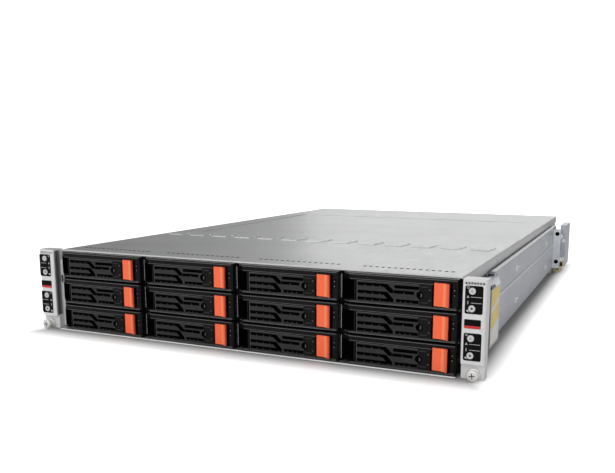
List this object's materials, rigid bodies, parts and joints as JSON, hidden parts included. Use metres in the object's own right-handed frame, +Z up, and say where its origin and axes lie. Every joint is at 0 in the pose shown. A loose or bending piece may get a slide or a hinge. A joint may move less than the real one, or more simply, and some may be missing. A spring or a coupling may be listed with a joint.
{
  "type": "2u rack server",
  "caption": "Two-unit rack server on rails, with rows of hot-swap drive trays with latched levers in front and node sleds and power supplies behind.",
  "frame": {"origin": "centre of the chassis underside, midway between its front and rear edges", "axes": "+X to the right seen from the front, +Y from the front to the rear, +Z up"},
  "size_m": [0.488, 0.735, 0.0879],
  "materials": {
    "cover_steel": "satin zinc plated sheet",
    "chassis_steel": "satin zinc plated sheet",
    "cage_steel": "satin zinc plated sheet",
    "ear_metal": "satin silver paint",
    "rail_steel": "satin zinc plated sheet",
    "sled_steel": "satin zinc plated sheet",
    "supply_steel": "satin zinc plated sheet",
    "tray_plastic": "satin black",
    "lever_plastic": "satin charcoal",
    "latch_plastic": "semi-gloss orange red",
    "button_plastic": "semi-gloss silver white",
    "screw_metal": "bright nickel plate"
  },
  "bodies": {
    "chassis": {"chassis_base": "chassis_steel", "front_cover": "cover_steel", "rear_cover": "cover_steel", "drive_cage": "cage_steel", "left_ear": "ear_metal", "right_ear": "ear_metal"},
    "tray_top_1": {"tray_top_1": "tray_plastic"},
    "lever_top_1": {"lever_top_1": "lever_plastic"},
    "latch_top_1": {"latch_top_1": "latch_plastic"},
    "tray_top_2": {"tray_top_2": "tray_plastic"},
    "lever_top_2": {"lever_top_2": "lever_plastic"},
    "latch_top_2": {"latch_top_2": "latch_plastic"},
    "tray_top_3": {"tray_top_3": "tray_plastic"},
    "lever_top_3": {"lever_top_3": "lever_plastic"},
    "latch_top_3": {"latch_top_3": "latch_plastic"},
    "tray_top_4": {"tray_top_4": "tray_plastic"},
    "lever_top_4": {"lever_top_4": "lever_plastic"},
    "latch_top_4": {"latch_top_4": "latch_plastic"},
    "tray_middle_1": {"tray_middle_1": "tray_plastic"},
    "lever_middle_1": {"lever_middle_1": "lever_plastic"},
    "latch_middle_1": {"latch_middle_1": "latch_plastic"},
    "tray_middle_2": {"tray_middle_2": "tray_plastic"},
    "lever_middle_2": {"lever_middle_2": "lever_plastic"},
    "latch_middle_2": {"latch_middle_2": "latch_plastic"},
    "tray_middle_3": {"tray_middle_3": "tray_plastic"},
    "lever_middle_3": {"lever_middle_3": "lever_plastic"},
    "latch_middle_3": {"latch_middle_3": "latch_plastic"},
    "tray_middle_4": {"tray_middle_4": "tray_plastic"},
    "lever_middle_4": {"lever_middle_4": "lever_plastic"},
    "latch_middle_4": {"latch_middle_4": "latch_plastic"},
    "tray_bottom_1": {"tray_bottom_1": "tray_plastic"},
    "lever_bottom_1": {"lever_bottom_1": "lever_plastic"},
    "latch_bottom_1": {"latch_bottom_1": "latch_plastic"},
    "tray_bottom_2": {"tray_bottom_2": "tray_plastic"},
    "lever_bottom_2": {"lever_bottom_2": "lever_plastic"},
    "latch_bottom_2": {"latch_bottom_2": "latch_plastic"},
    "tray_bottom_3": {"tray_bottom_3": "tray_plastic"},
    "lever_bottom_3": {"lever_bottom_3": "lever_plastic"},
    "latch_bottom_3": {"latch_bottom_3": "latch_plastic"},
    "tray_bottom_4": {"tray_bottom_4": "tray_plastic"},
    "lever_bottom_4": {"lever_bottom_4": "lever_plastic"},
    "latch_bottom_4": {"latch_bottom_4": "latch_plastic"},
    "left_upper_power_button": {"left_upper_power_button": "button_plastic"},
    "left_upper_reset_button": {"left_upper_reset_button": "button_plastic"},
    "left_lower_power_button": {"left_lower_power_button": "button_plastic"},
    "left_lower_reset_button": {"left_lower_reset_button": "button_plastic"},
    "left_thumbscrew": {"left_thumbscrew": "screw_metal"},
    "left_rail": {"left_rail": "rail_steel"},
    "right_upper_power_button": {"right_upper_power_button": "button_plastic"},
    "right_upper_reset_button": {"right_upper_reset_button": "button_plastic"},
    "right_lower_power_button": {"right_lower_power_button": "button_plastic"},
    "right_lower_reset_button": {"right_lower_reset_button": "button_plastic"},
    "right_thumbscrew": {"right_thumbscrew": "screw_metal"},
    "right_rail": {"right_rail": "rail_steel"},
    "left_lower_sled": {"left_lower_sled": "sled_steel"},
    "left_upper_sled": {"left_upper_sled": "sled_steel"},
    "right_lower_sled": {"right_lower_sled": "sled_steel"},
    "right_upper_sled": {"right_upper_sled": "sled_steel"},
    "lower_power_supply": {"lower_power_supply": "supply_steel"},
    "upper_power_supply": {"upper_power_supply": "supply_steel"}
  },
  "joints": [
    {"name": "tray_top_1_slide", "type": "slide", "parent": "chassis", "child": "tray_top_1", "axis": [0, -1, 0], "range_m": [0, 0.17]},
    {"name": "lever_top_1_hinge", "type": "hinge", "parent": "tray_top_1", "child": "lever_top_1", "pos_m": [-0.1984, -0.357, 0.0702], "axis": [0, 0, -1], "range_deg": [0, 55]},
    {"name": "latch_top_1_press", "type": "slide", "parent": "tray_top_1", "child": "latch_top_1", "axis": [1, 0, 0], "range_m": [0, 0.002], "stiffness_N_per_m": 300},
    {"name": "tray_top_2_slide", "type": "slide", "parent": "chassis", "child": "tray_top_2", "axis": [0, -1, 0], "range_m": [0, 0.17]},
    {"name": "lever_top_2_hinge", "type": "hinge", "parent": "tray_top_2", "child": "lever_top_2", "pos_m": [-0.0894, -0.357, 0.0702], "axis": [0, 0, -1], "range_deg": [0, 55]},
    {"name": "latch_top_2_press", "type": "slide", "parent": "tray_top_2", "child": "latch_top_2", "axis": [1, 0, 0], "range_m": [0, 0.002], "stiffness_N_per_m": 300},
    {"name": "tray_top_3_slide", "type": "slide", "parent": "chassis", "child": "tray_top_3", "axis": [0, -1, 0], "range_m": [0, 0.17]},
    {"name": "lever_top_3_hinge", "type": "hinge", "parent": "tray_top_3", "child": "lever_top_3", "pos_m": [0.0196, -0.357, 0.0702], "axis": [0, 0, -1], "range_deg": [0, 55]},
    {"name": "latch_top_3_press", "type": "slide", "parent": "tray_top_3", "child": "latch_top_3", "axis": [1, 0, 0], "range_m": [0, 0.002], "stiffness_N_per_m": 300},
    {"name": "tray_top_4_slide", "type": "slide", "parent": "chassis", "child": "tray_top_4", "axis": [0, -1, 0], "range_m": [0, 0.17]},
    {"name": "lever_top_4_hinge", "type": "hinge", "parent": "tray_top_4", "child": "lever_top_4", "pos_m": [0.1286, -0.357, 0.0702], "axis": [0, 0, -1], "range_deg": [0, 55]},
    {"name": "latch_top_4_press", "type": "slide", "parent": "tray_top_4", "child": "latch_top_4", "axis": [1, 0, 0], "range_m": [0, 0.002], "stiffness_N_per_m": 300},
    {"name": "tray_middle_1_slide", "type": "slide", "parent": "chassis", "child": "tray_middle_1", "axis": [0, -1, 0], "range_m": [0, 0.17]},
    {"name": "lever_middle_1_hinge", "type": "hinge", "parent": "tray_middle_1", "child": "lever_middle_1", "pos_m": [-0.1984, -0.357, 0.042], "axis": [0, 0, -1], "range_deg": [0, 55]},
    {"name": "latch_middle_1_press", "type": "slide", "parent": "tray_middle_1", "child": "latch_middle_1", "axis": [1, 0, 0], "range_m": [0, 0.002], "stiffness_N_per_m": 300},
    {"name": "tray_middle_2_slide", "type": "slide", "parent": "chassis", "child": "tray_middle_2", "axis": [0, -1, 0], "range_m": [0, 0.17]},
    {"name": "lever_middle_2_hinge", "type": "hinge", "parent": "tray_middle_2", "child": "lever_middle_2", "pos_m": [-0.0894, -0.357, 0.042], "axis": [0, 0, -1], "range_deg": [0, 55]},
    {"name": "latch_middle_2_press", "type": "slide", "parent": "tray_middle_2", "child": "latch_middle_2", "axis": [1, 0, 0], "range_m": [0, 0.002], "stiffness_N_per_m": 300},
    {"name": "tray_middle_3_slide", "type": "slide", "parent": "chassis", "child": "tray_middle_3", "axis": [0, -1, 0], "range_m": [0, 0.17]},
    {"name": "lever_middle_3_hinge", "type": "hinge", "parent": "tray_middle_3", "child": "lever_middle_3", "pos_m": [0.0196, -0.357, 0.042], "axis": [0, 0, -1], "range_deg": [0, 55]},
    {"name": "latch_middle_3_press", "type": "slide", "parent": "tray_middle_3", "child": "latch_middle_3", "axis": [1, 0, 0], "range_m": [0, 0.002], "stiffness_N_per_m": 300},
    {"name": "tray_middle_4_slide", "type": "slide", "parent": "chassis", "child": "tray_middle_4", "axis": [0, -1, 0], "range_m": [0, 0.17]},
    {"name": "lever_middle_4_hinge", "type": "hinge", "parent": "tray_middle_4", "child": "lever_middle_4", "pos_m": [0.1286, -0.357, 0.042], "axis": [0, 0, -1], "range_deg": [0, 55]},
    {"name": "latch_middle_4_press", "type": "slide", "parent": "tray_middle_4", "child": "latch_middle_4", "axis": [1, 0, 0], "range_m": [0, 0.002], "stiffness_N_per_m": 300},
    {"name": "tray_bottom_1_slide", "type": "slide", "parent": "chassis", "child": "tray_bottom_1", "axis": [0, -1, 0], "range_m": [0, 0.17]},
    {"name": "lever_bottom_1_hinge", "type": "hinge", "parent": "tray_bottom_1", "child": "lever_bottom_1", "pos_m": [-0.1984, -0.357, 0.0138], "axis": [0, 0, -1], "range_deg": [0, 55]},
    {"name": "latch_bottom_1_press", "type": "slide", "parent": "tray_bottom_1", "child": "latch_bottom_1", "axis": [1, 0, 0], "range_m": [0, 0.002], "stiffness_N_per_m": 300},
    {"name": "tray_bottom_2_slide", "type": "slide", "parent": "chassis", "child": "tray_bottom_2", "axis": [0, -1, 0], "range_m": [0, 0.17]},
    {"name": "lever_bottom_2_hinge", "type": "hinge", "parent": "tray_bottom_2", "child": "lever_bottom_2", "pos_m": [-0.0894, -0.357, 0.0138], "axis": [0, 0, -1], "range_deg": [0, 55]},
    {"name": "latch_bottom_2_press", "type": "slide", "parent": "tray_bottom_2", "child": "latch_bottom_2", "axis": [1, 0, 0], "range_m": [0, 0.002], "stiffness_N_per_m": 300},
    {"name": "tray_bottom_3_slide", "type": "slide", "parent": "chassis", "child": "tray_bottom_3", "axis": [0, -1, 0], "range_m": [0, 0.17]},
    {"name": "lever_bottom_3_hinge", "type": "hinge", "parent": "tray_bottom_3", "child": "lever_bottom_3", "pos_m": [0.0196, -0.357, 0.0138], "axis": [0, 0, -1], "range_deg": [0, 55]},
    {"name": "latch_bottom_3_press", "type": "slide", "parent": "tray_bottom_3", "child": "latch_bottom_3", "axis": [1, 0, 0], "range_m": [0, 0.002], "stiffness_N_per_m": 300},
    {"name": "tray_bottom_4_slide", "type": "slide", "parent": "chassis", "child": "tray_bottom_4", "axis": [0, -1, 0], "range_m": [0, 0.17]},
    {"name": "lever_bottom_4_hinge", "type": "hinge", "parent": "tray_bottom_4", "child": "lever_bottom_4", "pos_m": [0.1286, -0.357, 0.0138], "axis": [0, 0, -1], "range_deg": [0, 55]},
    {"name": "latch_bottom_4_press", "type": "slide", "parent": "tray_bottom_4", "child": "latch_bottom_4", "axis": [1, 0, 0], "range_m": [0, 0.002], "stiffness_N_per_m": 300},
    {"name": "left_upper_power_button_press", "type": "slide", "parent": "chassis", "child": "left_upper_power_button", "axis": [0, 1, 0], "range_m": [0, 0.001], "stiffness_N_per_m": 400},
    {"name": "left_upper_reset_button_press", "type": "slide", "parent": "chassis", "child": "left_upper_reset_button", "axis": [0, 1, 0], "range_m": [0, 0.001], "stiffness_N_per_m": 400},
    {"name": "left_lower_power_button_press", "type": "slide", "parent": "chassis", "child": "left_lower_power_button", "axis": [0, 1, 0], "range_m": [0, 0.001], "stiffness_N_per_m": 400},
    {"name": "left_lower_reset_button_press", "type": "slide", "parent": "chassis", "child": "left_lower_reset_button", "axis": [0, 1, 0], "range_m": [0, 0.001], "stiffness_N_per_m": 400},
    {"name": "left_thumbscrew_turn", "type": "hinge", "parent": "chassis", "child": "left_thumbscrew", "pos_m": [-0.23255, -0.36, 0.00585], "axis": [0, 1, 0], "continuous": true},
    {"name": "left_rail_slide", "type": "slide", "parent": "chassis", "child": "left_rail", "axis": [0, 1, 0], "range_m": [0, 0.5]},
    {"name": "right_upper_power_button_press", "type": "slide", "parent": "chassis", "child": "right_upper_power_button", "axis": [0, 1, 0], "range_m": [0, 0.001], "stiffness_N_per_m": 400},
    {"name": "right_upper_reset_button_press", "type": "slide", "parent": "chassis", "child": "right_upper_reset_button", "axis": [0, 1, 0], "range_m": [0, 0.001], "stiffness_N_per_m": 400},
    {"name": "right_lower_power_button_press", "type": "slide", "parent": "chassis", "child": "right_lower_power_button", "axis": [0, 1, 0], "range_m": [0, 0.001], "stiffness_N_per_m": 400},
    {"name": "right_lower_reset_button_press", "type": "slide", "parent": "chassis", "child": "right_lower_reset_button", "axis": [0, 1, 0], "range_m": [0, 0.001], "stiffness_N_per_m": 400},
    {"name": "right_thumbscrew_turn", "type": "hinge", "parent": "chassis", "child": "right_thumbscrew", "pos_m": [0.23255, -0.36, 0.00585], "axis": [0, 1, 0], "continuous": true},
    {"name": "right_rail_slide", "type": "slide", "parent": "chassis", "child": "right_rail", "axis": [0, 1, 0], "range_m": [0, 0.5]},
    {"name": "left_lower_sled_slide", "type": "slide", "parent": "chassis", "child": "left_lower_sled", "axis": [0, 1, 0], "range_m": [0, 0.5]},
    {"name": "left_upper_sled_slide", "type": "slide", "parent": "chassis", "child": "left_upper_sled", "axis": [0, 1, 0], "range_m": [0, 0.5]},
    {"name": "right_lower_sled_slide", "type": "slide", "parent": "chassis", "child": "right_lower_sled", "axis": [0, 1, 0], "range_m": [0, 0.5]},
    {"name": "right_upper_sled_slide", "type": "slide", "parent": "chassis", "child": "right_upper_sled", "axis": [0, 1, 0], "range_m": [0, 0.5]},
    {"name": "lower_power_supply_slide", "type": "slide", "parent": "chassis", "child": "lower_power_supply", "axis": [0, 1, 0], "range_m": [0, 0.24]},
    {"name": "upper_power_supply_slide", "type": "slide", "parent": "chassis", "child": "upper_power_supply", "axis": [0, 1, 0], "range_m": [0, 0.24]}
  ],
  "couplings": [
    {"joint": "left_rail_slide", "follows": "right_rail_slide", "ratio": 1}
  ]
}
